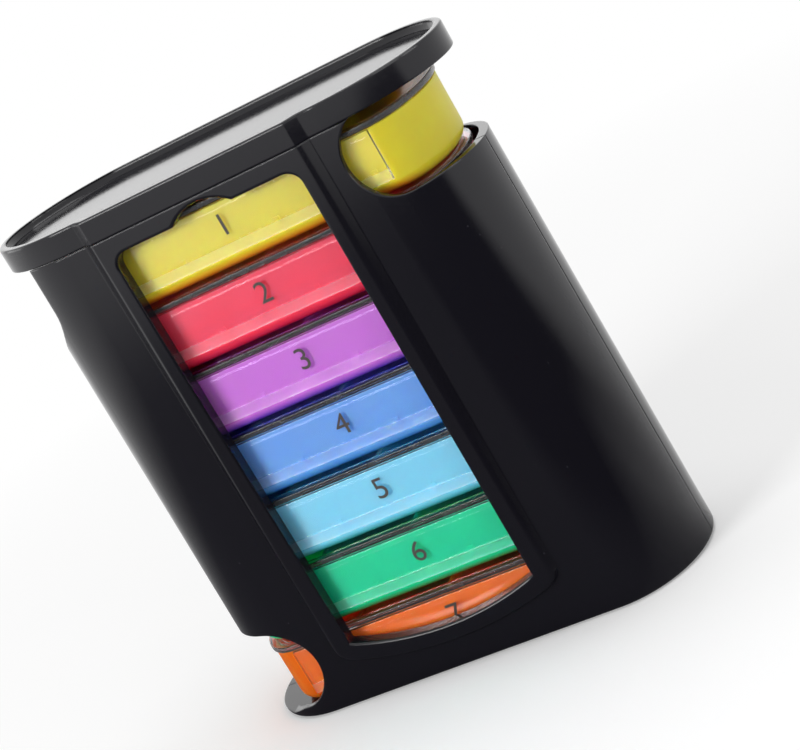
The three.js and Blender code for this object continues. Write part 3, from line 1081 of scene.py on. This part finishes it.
@dataclass(frozen=True)
class DarkMat:
    """A dark mat on the floor that only mirrored rays and rays through clear plastic see.

    It gives the glossy black case the dark reflections of the photograph.
    """

    name: str = "dark_mat"
    middle: Point = (0.02, -0.25)
    level: float = -0.0001
    turn: float = -28.0
    fade: Point = (0.28, 0.52)
    back: Point = (0.21, 0.26)
    across: Point = (-0.08, -0.02)
    colour: str = "#6a6a6d"
    dark: str = "#1c1c1e"
    segments: int = 64

    def build(self) -> None:
        """Lays the mat."""
        mat = disc(self.name, self.fade[1], self.segments)
        mat.location = (*self.middle, self.level)
        mat.rotation_euler.z = math.radians(self.turn)
        for ray in ("camera", "diffuse", "volume_scatter", "shadow"):
            setattr(mat, f"visible_{ray}", False)
        material, tree = bare_material("grey_card_matt")
        place = add_node(tree, "ShaderNodeTexCoord").outputs["Object"]
        away = add_node(tree, "ShaderNodeVectorMath", {0: place}, operation="LENGTH").outputs["Value"]
        along = add_node(tree, "ShaderNodeSeparateXYZ", {0: place}).outputs
        near = ramp(tree, away, self.fade, (1.0, 0.0))
        cover = reckon(tree, "MULTIPLY", near, ramp(tree, along["Y"], self.back, (1.0, 0.0)))
        side = ramp(tree, along["X"], self.across)
        colour = blend(tree, side, linear(self.colour), linear(self.dark))
        bare = add_node(tree, "ShaderNodeBsdfTransparent").outputs[0]
        card = add_node(tree, "ShaderNodeBsdfDiffuse", {"Color": colour}).outputs[0]
        mixed = add_node(tree, "ShaderNodeMixShader", {0: cover, 1: bare, 2: card})
        add_node(tree, "ShaderNodeOutputMaterial", {"Surface": mixed.outputs[0]})
        mat.data.materials.append(material)


@dataclass
class Studio:
    """White floor and surround, soft lamps, and the camera at the photograph's viewing angle.

    The camera's spot is in millimetres, as it was fitted to the part.
    """

    lamps: tuple[SoftLamp, ...] = (
        SoftLamp("key_lamp", (-0.48, -0.8, 0.34), (0.42, 0.28), 5.0),
        SoftLamp("fill_lamp", (0.75, -0.55, 0.35), (0.5, 0.5), 1.6),
        SoftLamp("right_lamp", (1.05, -0.1, 0.3), (0.4, 0.4), 2.0),
        SoftLamp("side_lamp", (-1.05, 0.05, 0.25), (0.5, 0.5), 1.2),
        SoftLamp("back_lamp", (-0.66, 1.03, 0.3), (1.3, 0.4), 0.75),
        SoftLamp("top_lamp", (0.1, 0.2, 1.2), (0.9, 0.9), 7.0),
    )
    mats: tuple[DarkMat, ...] = (
        DarkMat(),
        DarkMat(
            "dark_mat_right",
            middle=(0.48, -0.34),
            level=-0.00015,
            turn=-40.0,
            fade=(0.38, 0.55),
            back=(0.09, 0.2),
            across=(-1.0, -0.9),
        ),
    )
    surround: str = "#ffffff"
    ambient: float = 0.24
    floor_colour: str = "#f4f4f4"
    floor_lift: float = 0.16
    floor_level: float = -0.0002
    floor_radius: float = 6.0
    floor_segments: int = 96
    fade: Point = (0.1, 0.42)
    spot: Triple = (224.3, -457.7, 204.6)
    azimuth: float = 25.03
    elevation: float = 15.65
    roll: float = -30.36
    lens: float = 105.1
    sensor: float = 36.0

    def seen(self, tree: bpy.types.NodeTree) -> bpy.types.NodeSocket:
        """One for rays that look at a surface, also mirrored or through plastic, zero for its light.

        Args:
            tree: Node tree to add to.

        Returns:
            The output with that number.
        """
        path = add_node(tree, "ShaderNodeLightPath").outputs
        straight = reckon(tree, "MAXIMUM", path["Is Camera Ray"], path["Is Glossy Ray"])
        return reckon(tree, "MAXIMUM", straight, path["Is Transmission Ray"])

    def build_world(self) -> None:
        """Makes the surround: white to look at, dimmer as a source of light."""
        world = bpy.data.worlds.new("white_surround")
        world.use_nodes = True
        tree = world.node_tree
        tree.nodes.clear()
        level = ramp(tree, self.seen(tree), (0.0, 1.0), (self.ambient, 1.0))
        inputs = {"Color": linear(self.surround), "Strength": level}
        glow = add_node(tree, "ShaderNodeBackground", inputs)
        add_node(tree, "ShaderNodeOutputWorld", {"Surface": glow.outputs[0]})
        bpy.context.scene.world = world

    def build_floor(self) -> None:
        """Lays the floor: matt paper that takes the shadow and turns plain white further out."""
        floor = disc("floor", self.floor_radius, self.floor_segments)
        floor.location.z = self.floor_level
        material, tree = bare_material("white_paper_matt")
        place = add_node(tree, "ShaderNodeTexCoord").outputs["Object"]
        away = add_node(tree, "ShaderNodeVectorMath", {0: place}, operation="LENGTH").outputs["Value"]
        white = linear(self.surround)
        paper = add_node(tree, "ShaderNodeBsdfDiffuse", {"Color": linear(self.floor_colour)}).outputs[0]
        plain = add_node(tree, "ShaderNodeEmission", {"Color": white, "Strength": 1.0}).outputs[0]
        level = reckon(tree, "MULTIPLY", self.seen(tree), self.floor_lift)
        lift = add_node(tree, "ShaderNodeEmission", {"Color": white, "Strength": level}).outputs[0]
        lit = add_node(tree, "ShaderNodeAddShader", {0: paper, 1: lift}).outputs[0]
        parts = {0: ramp(tree, away, self.fade), 1: lit, 2: plain}
        mixed = add_node(tree, "ShaderNodeMixShader", parts)
        add_node(tree, "ShaderNodeOutputMaterial", {"Surface": mixed.outputs[0]})
        floor.data.materials.append(material)

    def build_camera(self) -> None:
        """Sets the camera up as the photograph was taken."""
        a, e, r = (math.radians(v) for v in (self.azimuth, self.elevation, self.roll))
        ahead = Vector((-math.sin(a) * math.cos(e), math.cos(a) * math.cos(e), -math.sin(e)))
        right = Vector((math.cos(a), math.sin(a), 0))
        up = right.cross(ahead)
        across = right * math.cos(r) + up * math.sin(r)
        upright = up * math.cos(r) - right * math.sin(r)
        data = bpy.data.cameras.new("camera")
        data.lens, data.sensor_width = self.lens, self.sensor
        camera = linked("camera", data)
        turn = Matrix((across, upright, -ahead)).transposed().to_4x4()
        camera.matrix_world = Matrix.Translation(Vector(self.spot) * MM) @ turn
        bpy.context.scene.camera = camera

    def build(self) -> None:
        """Sets up the whole studio."""
        self.build_world()
        self.build_floor()
        for thing in (*self.mats, *self.lamps):
            thing.build()
        self.build_camera()
        bpy.context.scene.view_settings.view_transform = "Standard"


def main() -> None:
    """Builds the organizer from the case up, then the studio."""
    logging.basicConfig(level=logging.INFO, format="%(name)s: %(message)s")
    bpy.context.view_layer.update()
    black = MouldedPolystyrene().build()
    case = Case()
    case.build()
    case.dress(black)
    Cap().build(black)
    TrayStack().build()
    Studio().build()


if __name__ == "__main__":
    main()
